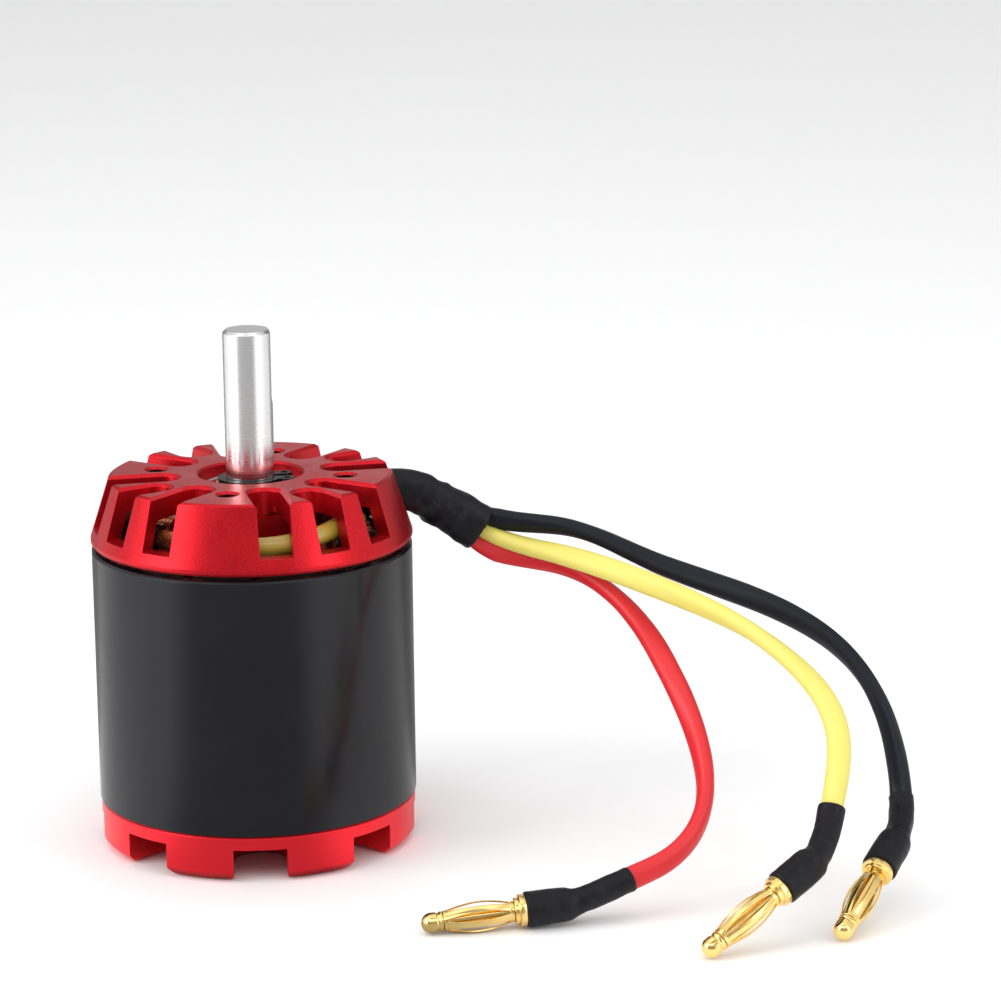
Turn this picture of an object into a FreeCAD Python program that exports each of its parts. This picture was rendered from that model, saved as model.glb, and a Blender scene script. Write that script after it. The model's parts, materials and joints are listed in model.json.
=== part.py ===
import FreeCAD, Part
import math
import os

# Brushless outrunner motor, millimetres.  The origin is the centre of the mounting face, +Z points out
# along the output shaft, and everything else hangs below the mounting face.

# ---- driving dimensions ------------------------------------------------------------------------------
SHAFT_R = 4.0
SHAFT_EXPOSED = 24.0
SHAFT_BOTTOM = -61.6
FLAT_DEPTH = 0.5
FLAT_LENGTH = 11.0
FLAT_ANGLE = 25.0

CAN_R = 26.5
CAN_BORE_R = 24.7
CAN_TOP = -11.9
CAN_BOTTOM = -54.5
BODY_BOTTOM = -62.0

FACE_R = 22.9
RIM_R = 26.6
RIM_TOP = -10.1
RIM_BOTTOM = -11.1
PLATE_THICKNESS = 4.0
SLOT_WIDTH = 5.4
SLOT_FLOOR = -8.4
SLOT_PITCH_ANGLE = 22.4
SLOT_INNER_R = 12.0
MIDDLE_SLOT_INNER_R = 15.4
SLOT_CHAMFER = 0.5
BOLT_CIRCLE_R = 16.0
BOLT_HOLE_R = 1.65
BOLT_MOUTH_CHAMFER = 0.45

TUBE_R = 12.0
LIP_BORE_R = 8.64
BEARING_R = 9.5
BEARING_WIDTH = 6.0
FRONT_BEARING_TOP = -2.0
REAR_BEARING_TOP = -46.8
TUBE_BOTTOM = -53.0
BALL_R = 1.5875
BALL_COUNT = 8
BALL_CIRCLE_R = 6.75
RACE_R = 1.62
INNER_LAND_R = 5.6
OUTER_LAND_R = 7.9

STACK_TOP = -13.0
STACK_BOTTOM = -47.5
STACK_R = 21.7
YOKE_R = 15.2
TOOTH_TIP_R = 20.2
TOOTH_COUNT = 12
TOOTH_WIDTH = 3.6
TOOTH_GAP = 1.6
INSULATOR_THICKNESS = 0.8
END_TURN = 2.4

MAGNET_COUNT = 14
MAGNET_INNER_R = 22.2
MAGNET_TOP = -13.5
MAGNET_BOTTOM = -49.5
MAGNET_GAP = 1.0

BELL_R = 26.3
BELL_CEILING = -56.75
BELL_POCKETS = 8
BELL_POCKET_WIDTH = 8.7
BELL_POCKET_INNER_R = 12.1
BELL_POCKET_ANGLE = -76.1
SPIGOT_TOP = -51.5
SPIGOT_INNER_R = 22.8
HUB_TOP = -53.3
SET_SCREW_Z = -59.2
SET_SCREW_R = 2.0

CLIP_BOTTOM = -1.5
CLIP_THICKNESS = 0.8
GROOVE_R = 3.8

LEAD_EXIT_ANGLE = 22.5
LEAD_STATIONS = 72
CUP_STATIONS = 4
CORE_R = 0.7
SLEEVE_BORE_R = 0.75
SLEEVE_THIN_R = 1.0
SLEEVE_R = 1.65
BOOT_WALL = 0.45

PLUG_TIP_R = 1.6
PLUG_PIN_R = 1.2
PLUG_SPRING_R = 2.4
PLUG_COLLAR_R = 2.55
PLUG_CUP_R = 2.3
PLUG_CUP_BORE_R = 1.9
PLUG_BOOT_R = 2.8
PLUG_BOOT_THIN_R = 2.1

Z = FreeCAD.Vector(0, 0, 1)
NODES = {}


# ---- small helpers -----------------------------------------------------------------------------------
def vec(x, y, z=0.0):
    return FreeCAD.Vector(x, y, z)


def polar(r, angle, z=0.0):
    return vec(r * math.cos(math.radians(angle)), r * math.sin(math.radians(angle)), z)


def tube(r_outer, r_inner, z_top, z_bottom):
    height = z_top - z_bottom
    outer = Part.makeCylinder(r_outer, height, vec(0, 0, z_bottom))
    return outer.cut(Part.makeCylinder(r_inner, height + 2, vec(0, 0, z_bottom - 1)))


def revolve(points):
    """Turns a closed outline of (radius, height) points about the Z axis."""
    corners = [vec(r, 0, z) for r, z in points]
    face = Part.Face(Part.makePolygon(corners + corners[:1]))
    return face.revolve(vec(0, 0, 0), Z, 360)


def turned(shape, angle):
    copy = shape.copy()
    copy.rotate(vec(0, 0, 0), Z, angle)
    return copy


def around(shape, count, start=0.0):
    return [turned(shape, start + i * 360.0 / count) for i in range(count)]


def fused(shapes):
    result = shapes[0]
    if len(shapes) > 1:
        result = result.multiFuse(shapes[1:])
    return result.removeSplitter()


def group(shapes):
    return Part.makeCompound([solid for shape in shapes for solid in shape.Solids])


def slot_wire(centre_r, half, z, outer_r=32.0):
    """Outline of a radial slot along +X: parallel sides and a half-round inner end."""
    side_a = vec(centre_r, half, z)
    side_b = vec(centre_r, -half, z)
    end = Part.Arc(side_a, vec(centre_r - half, 0, z), side_b).toShape()
    far_b = vec(outer_r, -half, z)
    far_a = vec(outer_r, half, z)
    lines = [Part.makeLine(side_b, far_b), Part.makeLine(far_b, far_a), Part.makeLine(far_a, side_a)]
    return Part.Wire([end] + lines)


def slot_cutter(inner_r, width, z_low, z_high):
    half = width / 2.0
    wire = slot_wire(inner_r + half, half, z_low)
    return Part.Face(wire).extrude(vec(0, 0, z_high - z_low))


def slot_mouth(inner_r, width, z_face, chamfer, outward):
    """Cutter that bevels the mouth of a slot on a face at z_face; outward is +1 for up, -1 for down."""
    half = width / 2.0
    centre = inner_r + half
    deep = slot_wire(centre, half, z_face - outward * chamfer)
    proud = slot_wire(centre, half + 2 * chamfer, z_face + outward * chamfer)
    return Part.makeLoft([deep, proud], True, True)


# ---- stationary housing ------------------------------------------------------------------------------
def mount_housing():
    wall = 2.4
    plate_bottom = -PLATE_THICKNESS
    outline = [
        (LIP_BORE_R + 0.3, 0.0),
        (FACE_R, 0.0),
        (FACE_R + 0.5, -0.3),
        (RIM_R, RIM_TOP),
        (RIM_R, RIM_TOP - 0.5),
        (RIM_R - 0.4, RIM_BOTTOM),
        (RIM_R - 0.4 - wall, RIM_BOTTOM),
        (RIM_R - 0.4 - wall, -9.5),
        (FACE_R - 0.9, plate_bottom),
        (TUBE_R + 0.6, plate_bottom),
        (TUBE_R, plate_bottom - 0.6),
        (TUBE_R, TUBE_BOTTOM + 0.4),
        (TUBE_R - 0.4, TUBE_BOTTOM),
        (BEARING_R + 0.3, TUBE_BOTTOM),
        (BEARING_R, TUBE_BOTTOM + 0.15),
        (BEARING_R, FRONT_BEARING_TOP),
        (LIP_BORE_R, FRONT_BEARING_TOP),
        (LIP_BORE_R, -0.3),
    ]
    body = revolve(outline)
    cutters = []
    for quarter in range(4):
        middle = 45.0 + 90.0 * quarter
        ends = [
            (middle - SLOT_PITCH_ANGLE, SLOT_INNER_R),
            (middle, MIDDLE_SLOT_INNER_R),
            (middle + SLOT_PITCH_ANGLE, SLOT_INNER_R),
        ]
        for angle, inner_r in ends:
            cutters.append(turned(slot_cutter(inner_r, SLOT_WIDTH, SLOT_FLOOR, 2.0), angle))
            cutters.append(turned(slot_mouth(inner_r, SLOT_WIDTH, 0.0, SLOT_CHAMFER, 1), angle))
    for quarter in range(4):
        centre = polar(BOLT_CIRCLE_R, 90.0 * quarter, -10.0)
        cutters.append(Part.makeCylinder(BOLT_HOLE_R, 12.0, centre))
        mouth_r = BOLT_HOLE_R + BOLT_MOUTH_CHAMFER
        mouth_at = polar(BOLT_CIRCLE_R, 90.0 * quarter, -BOLT_MOUTH_CHAMFER)
        cutters.append(Part.makeCone(BOLT_HOLE_R, mouth_r + 0.1, BOLT_MOUTH_CHAMFER + 0.1, mouth_at))
    return body.cut(cutters)


# ---- bearings ----------------------------------------------------------------------------------------
def race_torus(z_mid):
    return Part.makeTorus(BALL_CIRCLE_R, RACE_R, vec(0, 0, z_mid))


def add_bearing(prefix, z_top):
    z_bottom = z_top - BEARING_WIDTH
    z_mid = (z_top + z_bottom) / 2.0
    edge = 0.2
    outer = revolve([
        (OUTER_LAND_R, z_top), (BEARING_R - edge, z_top), (BEARING_R, z_top - edge),
        (BEARING_R, z_bottom + edge), (BEARING_R - edge, z_bottom), (OUTER_LAND_R, z_bottom),
    ])
    inner = revolve([
        (SHAFT_R, z_top - edge), (SHAFT_R + edge, z_top), (INNER_LAND_R, z_top),
        (INNER_LAND_R, z_bottom), (SHAFT_R + edge, z_bottom), (SHAFT_R, z_bottom + edge),
    ])
    NODES[prefix + "_bearing_outer_ring"] = outer.cut(race_torus(z_mid))
    NODES[prefix + "_bearing_inner_ring"] = inner.cut(race_torus(z_mid))
    shield_r = INNER_LAND_R + 0.1
    upper = tube(OUTER_LAND_R, shield_r, z_top - 0.15, z_top - 0.45)
    lower = tube(OUTER_LAND_R, shield_r, z_bottom + 0.45, z_bottom + 0.15)
    NODES[prefix + "_bearing_shields"] = group([upper, lower])
    ball = Part.makeSphere(BALL_R, vec(BALL_CIRCLE_R, 0, z_mid))
    NODES[prefix + "_bearing_balls"] = group(around(ball, BALL_COUNT))
    pocket = Part.makeCylinder(BALL_R + 0.06, 4.0, vec(BALL_CIRCLE_R - 2.0, 0, z_mid), vec(1, 0, 0))
    cage = tube(BALL_CIRCLE_R + 0.5, BALL_CIRCLE_R - 0.5, z_mid + 2.0, z_mid - 2.0)
    NODES[prefix + "_bearing_cage"] = cage.cut(around(pocket, BALL_COUNT))


# ---- stator ------------------------------------------------------------------------------------------
def stator_profile(z_top, z_bottom, r_outer):
    """Yoke ring, teeth and tooth tips between two heights."""
    height = z_top - z_bottom
    yoke = tube(YOKE_R, TUBE_R, z_top, z_bottom)
    tooth = Part.makeBox(
        TOOTH_TIP_R - YOKE_R + 1.4, TOOTH_WIDTH, height, vec(YOKE_R - 0.7, -TOOTH_WIDTH / 2.0, z_bottom))
    tips = tube(r_outer, TOOTH_TIP_R, z_top, z_bottom)
    gap = Part.makeBox(4.0, TOOTH_GAP, height + 2, vec(TOOTH_TIP_R - 1, -TOOTH_GAP / 2.0, z_bottom - 1))
    half_pitch = 180.0 / TOOTH_COUNT
    tips = tips.cut(around(gap, TOOTH_COUNT, half_pitch))
    return fused([yoke] + around(tooth, TOOTH_COUNT) + tips.Solids)


def rounded_loop(r, half_width, z_top, z_bottom, corner):
    """Rounded rectangle in the plane x = r, crossed by the tooth that a coil is wound on."""
    box = Part.makeBox(1.0, 2 * half_width, z_top - z_bottom, vec(r, -half_width, z_bottom))
    edges = [e for e in box.Edges if abs(e.tangentAt(e.FirstParameter).x) > 0.9]
    rounded = box.makeFillet(corner, edges)
    face = [f for f in rounded.Faces if abs(f.CenterOfMass.x - r) < 1e-6][0]
    return face.OuterWire


def coil():
    """One concentrated winding about the tooth that points along +X."""
    z_top = STACK_TOP + INSULATOR_THICKNESS
    z_bottom = STACK_BOTTOM - INSULATOR_THICKNESS
    inner_r = YOKE_R + 0.4
    outer_r = TOOTH_TIP_R - 0.6
    narrow = rounded_loop(inner_r, 3.9, z_top + END_TURN, z_bottom - END_TURN, 1.9)
    wide = rounded_loop(outer_r, 4.9, z_top + END_TURN, z_bottom - END_TURN, 2.4)
    block = Part.makeLoft([narrow, wide], True, True)
    half = TOOTH_WIDTH / 2.0 + 0.1
    core = Part.makeBox(10.0, 2 * half, z_top - z_bottom, vec(inner_r - 2, -half, z_bottom))
    return block.cut(core)


def add_stator():
    NODES["stator_core"] = stator_profile(STACK_TOP, STACK_BOTTOM, STACK_R)
    rim = STACK_R - 0.2
    thick = INSULATOR_THICKNESS
    NODES["front_end_insulator"] = stator_profile(STACK_TOP + thick, STACK_TOP, rim)
    NODES["rear_end_insulator"] = stator_profile(STACK_BOTTOM, STACK_BOTTOM - thick, rim)
    one = coil()
    tooth_angle = 360.0 / TOOTH_COUNT
    for number, phase in enumerate("abc"):
        first = 2 * number
        teeth = [first, first + 1, first + 6, first + 7]
        NODES["phase_" + phase + "_winding"] = group([turned(one, tooth_angle * t) for t in teeth])


def star_bundle():
    """The joined ends of the three windings, laid round the top of the coils."""
    reach = 1.35
    mid_r = 19.0
    height = -8.0
    path = Part.Wire(Part.Arc(polar(mid_r, -165, height), polar(mid_r, -135, height),
                              polar(mid_r, -105, height)).toShape())
    section = Part.Wire(Part.makeCircle(reach, polar(mid_r, -165, height), polar(1, -75)))
    return path.makePipeShell([section], True, False)


# ---- rotor -------------------------------------------------------------------------------------------
def shaft():
    bar = revolve([
        (0, SHAFT_BOTTOM), (SHAFT_R - 0.4, SHAFT_BOTTOM), (SHAFT_R, SHAFT_BOTTOM + 0.4),
        (SHAFT_R, CLIP_BOTTOM - 0.05), (GROOVE_R, CLIP_BOTTOM - 0.05),
        (GROOVE_R, CLIP_BOTTOM + CLIP_THICKNESS + 0.05), (SHAFT_R, CLIP_BOTTOM + CLIP_THICKNESS + 0.05),
        (SHAFT_R, SHAFT_EXPOSED - 0.5), (SHAFT_R - 0.5, SHAFT_EXPOSED), (0, SHAFT_EXPOSED),
    ])
    flat_x = SHAFT_R - FLAT_DEPTH
    run_out = 3.0
    low = SHAFT_EXPOSED - FLAT_LENGTH
    flat = Part.makeBox(4.0, 12.0, FLAT_LENGTH + 1, vec(flat_x, -6, low))
    end = Part.makeCylinder(run_out, 12.0, vec(flat_x + run_out, -6, low), vec(0, 1, 0))
    seats = []
    for angle in (BELL_POCKET_ANGLE, BELL_POCKET_ANGLE + 90.0):
        seat = Part.makeBox(2.0, 5.0, 4.6, vec(flat_x, -2.5, SET_SCREW_Z - 2.3))
        seats.append(turned(seat, angle))
    return bar.cut([turned(flat, FLAT_ANGLE), turned(end, FLAT_ANGLE)] + seats)


def shaft_clip():
    """External retaining ring: an open ring with two eyes for pliers."""
    z = CLIP_BOTTOM
    bore = GROOVE_R + 0.02
    ring = Part.makeCylinder(5.2, CLIP_THICKNESS, vec(-0.15, 0, z))
    lugs = [Part.makeCylinder(1.3, CLIP_THICKNESS, vec(5.8, side * 1.95, z)) for side in (-1, 1)]
    roots = [Part.makeBox(2.0, 1.6, CLIP_THICKNESS, vec(4.0, side * 1.9 - 0.8, z)) for side in (-1, 1)]
    body = fused([ring] + lugs + roots)
    holes = [Part.makeCylinder(0.6, 3.0, vec(5.8, side * 1.95, z - 1)) for side in (-1, 1)]
    hole = Part.makeCylinder(bore, 3.0, vec(0, 0, z - 1))
    gap = Part.makeBox(6.0, 1.4, 3.0, vec(2.5, -0.7, z - 1))
    return turned(body.cut(holes + [hole, gap]), FLAT_ANGLE - 5.0)


def rotor_can():
    edge = 0.35
    return revolve([
        (CAN_BORE_R, CAN_TOP - 0.2), (CAN_BORE_R + 0.2, CAN_TOP), (CAN_R - edge, CAN_TOP),
        (CAN_R, CAN_TOP - edge), (CAN_R, CAN_BOTTOM + 0.2), (CAN_R - 0.2, CAN_BOTTOM),
        (CAN_BORE_R, CAN_BOTTOM),
    ])


def magnets():
    ring = tube(CAN_BORE_R, MAGNET_INNER_R, MAGNET_TOP, MAGNET_BOTTOM)
    height = MAGNET_TOP - MAGNET_BOTTOM
    gap = Part.makeBox(6.0, MAGNET_GAP, height + 2,
                       vec(MAGNET_INNER_R - 1, -MAGNET_GAP / 2.0, MAGNET_BOTTOM - 1))
    return group([ring.cut(around(gap, MAGNET_COUNT))])


def rear_bell():
    body = revolve([
        (SHAFT_R, HUB_TOP), (6.0, HUB_TOP), (6.0, CAN_BOTTOM), (SPIGOT_INNER_R, CAN_BOTTOM),
        (SPIGOT_INNER_R, SPIGOT_TOP), (CAN_BORE_R - 0.3, SPIGOT_TOP), (CAN_BORE_R, SPIGOT_TOP - 0.3),
        (CAN_BORE_R, CAN_BOTTOM), (BELL_R - 0.35, CAN_BOTTOM), (BELL_R, CAN_BOTTOM - 0.35),
        (BELL_R, -60.8), (25.0, BODY_BOTTOM), (SHAFT_R + 0.4, BODY_BOTTOM),
        (SHAFT_R, BODY_BOTTOM + 0.4),
    ])
    pocket = slot_cutter(BELL_POCKET_INNER_R, BELL_POCKET_WIDTH, BODY_BOTTOM - 2.0, BELL_CEILING)
    mouth = slot_mouth(BELL_POCKET_INNER_R, BELL_POCKET_WIDTH, BODY_BOTTOM, 0.35, -1)
    vent = slot_cutter(BELL_POCKET_INNER_R + 1.4, 5.0, BELL_CEILING - 1.0, CAN_BOTTOM + 1.0)
    keep = Part.makeCylinder(21.0, 10.0, vec(0, 0, CAN_BOTTOM - 6.0))
    vent = vent.common(keep)
    cutters = around(pocket, BELL_POCKETS, BELL_POCKET_ANGLE)
    cutters += around(mouth, BELL_POCKETS, BELL_POCKET_ANGLE)
    cutters += around(vent, BELL_POCKETS, BELL_POCKET_ANGLE)
    for angle in (BELL_POCKET_ANGLE, BELL_POCKET_ANGLE + 90.0):
        drill = Part.makeCylinder(SET_SCREW_R, 16.0, vec(0, 0, SET_SCREW_Z), vec(1, 0, 0))
        cutters.append(turned(drill, angle))
    return body.cut(cutters)


def set_screws():
    tip_x = SHAFT_R - FLAT_DEPTH
    length = 7.0
    body = Part.makeCylinder(SET_SCREW_R, length, vec(tip_x, 0, SET_SCREW_Z), vec(1, 0, 0))
    hexagon = [vec(tip_x + length - 2.0, 1.15 * math.cos(math.radians(60 * i)),
                   SET_SCREW_Z + 1.15 * math.sin(math.radians(60 * i))) for i in range(7)]
    socket = Part.Face(Part.makePolygon(hexagon)).extrude(vec(3.0, 0, 0))
    screw = body.cut(socket)
    return group([turned(screw, BELL_POCKET_ANGLE), turned(screw, BELL_POCKET_ANGLE + 90.0)])


# ---- motor leads -------------------------------------------------------------------------------------
# Stations of the lead boot: radius, angle, height, half width across, half height, gap between leads.
BOOT_STATIONS = [
    (21.0, LEAD_EXIT_ANGLE, -4.4, 2.55, 3.7, 2.12),
    (24.0, LEAD_EXIT_ANGLE, -4.4, 2.55, 3.7, 2.12),
    (27.3, LEAD_EXIT_ANGLE, -4.6, 2.6, 3.95, 2.25),
    (30.6, LEAD_EXIT_ANGLE - 0.4, -6.4, 2.9, 4.75, 2.65),
    (34.4, LEAD_EXIT_ANGLE - 1.0, -9.1, 3.3, 4.8, 2.75),
    (38.4, LEAD_EXIT_ANGLE - 1.7, -11.8, 3.6, 4.9, 2.8),
]

# Way-points inside the housing, (radius, angle, height), from the coil to the lead boot.
INNER_ROUTES = {
    "yellow": [(19.8, -88, -8.3), (20.3, -67.5, -8.0), (20.2, -45, -7.0), (19.1, -22, -6.2),
               (18.2, -2, -6.9), (16.8, 13, -7.2), (16.8, 20.0, -5.9), (18.6, 22.5, -4.7)],
    "black": [(20.2, -36, -8.7), (18.6, -20, -8.7), (15.6, -5, -8.6), (14.0, 8, -8.3),
              (13.7, 18, -6.7), (14.1, 22.0, -4.1), (16.6, 22.5, -2.4)],
    "red": [(20.6, 50, -8.6), (19.6, 40, -8.2), (18.4, 31, -7.4), (18.9, 25.0, -6.8)],
}

# Way-points outside, (x, y, z), from the lead boot to the plug boot.
OUTER_ROUTES = {
    "red": [(49.5, 12.4, -17.3), (62.6, 5.4, -23.2), (69.9, -3.9, -30.0), (76.0, -13.3, -39.4),
            (77.5, -21.6, -48.6), (73.6, -27.9, -53.6)],
    "yellow": [(49.9, 9.2, -14.6), (66.0, 2.4, -17.4), (78.4, -3.7, -20.5), (91.0, -12.5, -25.6),
               (98.1, -19.0, -32.7), (99.2, -22.6, -38.0)],
    "black": [(50.5, 13.0, -10.9), (64.8, 9.7, -15.1), (83.4, 3.8, -19.8), (99.9, -2.4, -28.0),
              (106.4, -6.8, -38.9)],
}

# Bullet plugs: tip position, direction in plan and rise of the plug's axis from the tip to the lead.
PLUGS = {
    "red": (vec(38.1, -44.7, -60.4), 20.0, 4.0, vec(67.5, -32.5, -56.0)),
    "yellow": (vec(82.3, -49.0, -60.4), 43.6, 26.5, vec(98.5, -26.2, -44.8)),
    "black": (vec(101.5, -38.5, -60.4), 71.3, 21.7, vec(108.3, -9.3, -48.2)),
}
CUP_FLOOR = 17.5
CUP_END = 23.0
STACK_ORDER = {"black": 1, "yellow": 0, "red": -1}


def plug_axis(colour):
    tip, plan, rise, _ = PLUGS[colour]
    flat = math.cos(math.radians(rise))
    return tip, vec(flat * math.cos(math.radians(plan)), flat * math.sin(math.radians(plan)),
                    math.sin(math.radians(rise)))


def placed_on_plug(shape, colour):
    """Moves a shape made along +Z from the origin onto a plug's axis, origin at the plug's tip."""
    tip, along = plug_axis(colour)
    copy = shape.copy()
    copy.Placement = FreeCAD.Placement(tip - along * PLUG_TIP_R, FreeCAD.Rotation(Z, along))
    return copy


def lead_path(colour):
    """Spline from the coil to the plug's solder cup, and the points where its size changes."""
    points = [polar(*p) for p in INNER_ROUTES[colour]]
    for r, angle, z, _, _, gap in BOOT_STATIONS:
        points.append(polar(r, angle, z + gap * STACK_ORDER[colour]))
    boot_end = points[-1]
    points += [vec(*p) for p in OUTER_ROUTES[colour]]
    tip, along = plug_axis(colour)
    start = tip - along * PLUG_TIP_R
    points.append(PLUGS[colour][3])
    cup_end = start + along * CUP_END
    points.append(cup_end)
    points.append(start + along * CUP_FLOOR)
    curve = Part.BSplineCurve()
    curve.interpolate(Points=points)
    return curve, boot_end, cup_end


def frames_along(points, tangents):
    """A steady pair of cross directions for each station, carried along without twist."""
    side = tangents[0].cross(Z)
    if side.Length < 1e-3:
        side = vec(1, 0, 0)
    frames = []
    for tangent in tangents:
        side = side - tangent * side.dot(tangent)
        side.normalize()
        frames.append((side, tangent.cross(side)))
    return list(zip(points, frames))


def ring_wire(centre, frame, radius):
    side, up = frame
    circle = Part.Wire(Part.makeCircle(radius))
    circle.Placement = FreeCAD.Placement(centre, FreeCAD.Rotation(side, up, side.cross(up), "ZXY"))
    return circle


def hollow_loft(outer_wires, inner_wires):
    """Closed tube between two families of sections, with flat rings at both ends."""
    outer = Part.makeLoft(outer_wires, False, True)
    inner = Part.makeLoft(inner_wires, False, True)
    ends = [Part.Face(outer_wires[i]).cut(Part.Face(inner_wires[i])).Faces[0] for i in (0, -1)]
    shell = Part.Shell(list(outer.Faces) + [face.reversed() for face in inner.Faces] + ends)
    shell.sewShape()
    solid = Part.Solid(shell)
    solid.fix(1e-4, 1e-4, 1e-3)
    return solid


def stations_on(curve, first, last, count):
    points = []
    tangents = []
    for i in range(count):
        u = first + (last - first) * i / (count - 1.0)
        points.append(curve.value(u))
        tangents.append(vec(*curve.tangent(u)[0]))
    return points, tangents


def add_lead(colour):
    curve, boot_end, cup_end = lead_path(colour)
    start = curve.FirstParameter
    at_boot = curve.parameter(boot_end)
    at_cup = curve.parameter(cup_end)
    full = at_boot + 0.15 * (at_cup - at_boot)
    points, tangents = stations_on(curve, start, at_cup, LEAD_STATIONS)
    cup_points, cup_tangents = stations_on(curve, at_cup, curve.LastParameter, CUP_STATIONS)
    frames = frames_along(points + cup_points[1:], tangents + cup_tangents[1:])
    core = [ring_wire(point, frame, CORE_R) for point, frame in frames]
    NODES[colour + "_lead_wire"] = Part.makeLoft(core, True, True)
    outer = []
    inner = []
    for i, (point, frame) in enumerate(frames[:LEAD_STATIONS]):
        u = start + (at_cup - start) * i / (LEAD_STATIONS - 1.0)
        growth = min(1.0, max(0.0, (u - at_boot) / (full - at_boot)))
        outer.append(ring_wire(point, frame, SLEEVE_THIN_R + growth * (SLEEVE_R - SLEEVE_THIN_R)))
        inner.append(ring_wire(point, frame, SLEEVE_BORE_R))
    NODES[colour + "_lead_sleeve"] = hollow_loft(outer, inner)
    return curve, at_cup


def ellipse_wire(station, inset):
    r, angle, z, half_width, half_height, _ = station
    centre = polar(r, angle, z)
    across = polar(1, angle + 90.0)
    points = []
    for i in range(16):
        t = 2 * math.pi * i / 16
        offset = across * ((half_width - inset) * math.cos(t))
        points.append(centre + offset + Z * ((half_height - inset) * math.sin(t)))
    curve = Part.BSplineCurve()
    curve.interpolate(Points=points, PeriodicFlag=True)
    return Part.Wire(curve.toShape())


def lead_boot():
    outer = [ellipse_wire(s, 0.0) for s in BOOT_STATIONS]
    inner = [ellipse_wire(s, BOOT_WALL) for s in BOOT_STATIONS]
    return hollow_loft(outer, inner)


def plug_body():
    collar_top = 15.4
    cup_start = 16.5
    outline = [
        (0, 0.0), (0.75, 0.18), (1.25, 0.6), (1.52, 1.1), (PLUG_TIP_R, 1.6), (PLUG_TIP_R, 2.5),
        (PLUG_TIP_R - 0.2, 2.65), (PLUG_TIP_R - 0.2, 2.95), (PLUG_TIP_R, 3.1), (PLUG_TIP_R, 3.4),
        (PLUG_PIN_R, 3.4), (PLUG_PIN_R, 14.6), (2.1, 14.6), (2.1, collar_top),
        (PLUG_COLLAR_R - 0.15, collar_top), (PLUG_COLLAR_R, collar_top + 0.15),
        (PLUG_COLLAR_R, cup_start), (PLUG_CUP_R, cup_start), (PLUG_CUP_R, CUP_END),
        (PLUG_CUP_BORE_R, CUP_END), (PLUG_CUP_BORE_R, CUP_FLOOR - 0.2), (0, CUP_FLOOR - 0.2),
    ]
    return revolve(outline)


def plug_spring():
    """Lantern spring: two rings joined by six bowed leaves."""
    front = 3.45
    rear = 14.55
    wall = 0.3
    ring_r = 1.65
    middle = (5.0 + 13.0) / 2.0
    bow = []
    for i in range(9):
        z = 5.0 + i
        rise = (PLUG_SPRING_R - ring_r) * (1 - ((z - middle) / 4.0) ** 2)
        bow.append((ring_r + rise, z))
    outer = [(ring_r, front)] + bow + [(ring_r, rear)]
    inner = [(r - wall, z) for r, z in reversed(outer)]
    shell = revolve(outer + inner)
    slit = Part.makeBox(4.0, 0.62, 7.4, vec(0.5, -0.31, middle - 3.7))
    return shell.cut(around(slit, 6))


def plug_boot(colour, curve, at_cup):
    """Heat-shrunk cover: snug on the solder cup, then necked down on to the lead."""
    tip, along = plug_axis(colour)
    start = tip - along * PLUG_TIP_R
    snug = PLUG_CUP_R + 0.02
    profile = [(16.55, PLUG_BOOT_R, snug), (19.0, PLUG_BOOT_R, snug), (21.5, PLUG_BOOT_R, snug),
               (23.1, PLUG_BOOT_R, snug)]
    points = [start + along * z for z, _, _ in profile]
    tangents = [along for _ in profile]
    radii = [(outer, inner) for _, outer, inner in profile]
    finish = curve.parameter(PLUGS[colour][3])
    neck_points, neck_tangents = stations_on(curve, at_cup + 0.28 * (finish - at_cup), finish, 5)
    points += neck_points
    tangents += [t * -1.0 for t in neck_tangents]
    radii += [(PLUG_BOOT_THIN_R, SLEEVE_R + 0.1)] * 5
    frames = frames_along(points, tangents)
    outer = [ring_wire(p, f, r) for (p, f), (r, _) in zip(frames, radii)]
    inner = [ring_wire(p, f, r) for (p, f), (_, r) in zip(frames, radii)]
    return hollow_loft(outer, inner)


def add_leads():
    for colour in ("red", "yellow", "black"):
        curve, at_cup = add_lead(colour)
        NODES[colour + "_plug_body"] = placed_on_plug(plug_body(), colour)
        NODES[colour + "_plug_spring"] = placed_on_plug(plug_spring(), colour)
        NODES[colour + "_plug_boot"] = plug_boot(colour, curve, at_cup)
    NODES["lead_boot"] = lead_boot()


# ---- assembly ----------------------------------------------------------------------------------------
NODES["mount_housing"] = mount_housing()
NODES["bearing_spacer"] = tube(BEARING_R, 8.3, FRONT_BEARING_TOP - BEARING_WIDTH, REAR_BEARING_TOP)
add_bearing("front", FRONT_BEARING_TOP)
add_bearing("rear", REAR_BEARING_TOP)
add_stator()
NODES["star_bundle"] = star_bundle()
NODES["shaft"] = shaft()
NODES["shaft_clip"] = shaft_clip()
NODES["front_shim"] = tube(5.7, SHAFT_R, CLIP_BOTTOM, FRONT_BEARING_TOP)
NODES["rear_shim"] = tube(5.3, SHAFT_R, REAR_BEARING_TOP - BEARING_WIDTH, HUB_TOP)
NODES["rotor_can"] = rotor_can()
NODES["magnets"] = magnets()
NODES["rear_bell"] = rear_bell()
NODES["set_screws"] = set_screws()
add_leads()

os.makedirs("parts", exist_ok=True)
for name, shape in NODES.items():
    shape.exportStep("parts/" + name + ".step")
    print(name, len(shape.Solids), shape.isValid(), round(shape.Volume, 1))
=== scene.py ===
import json
import math

import bmesh
import bpy
import numpy as np
from mathutils import Matrix, Vector, noise

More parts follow.
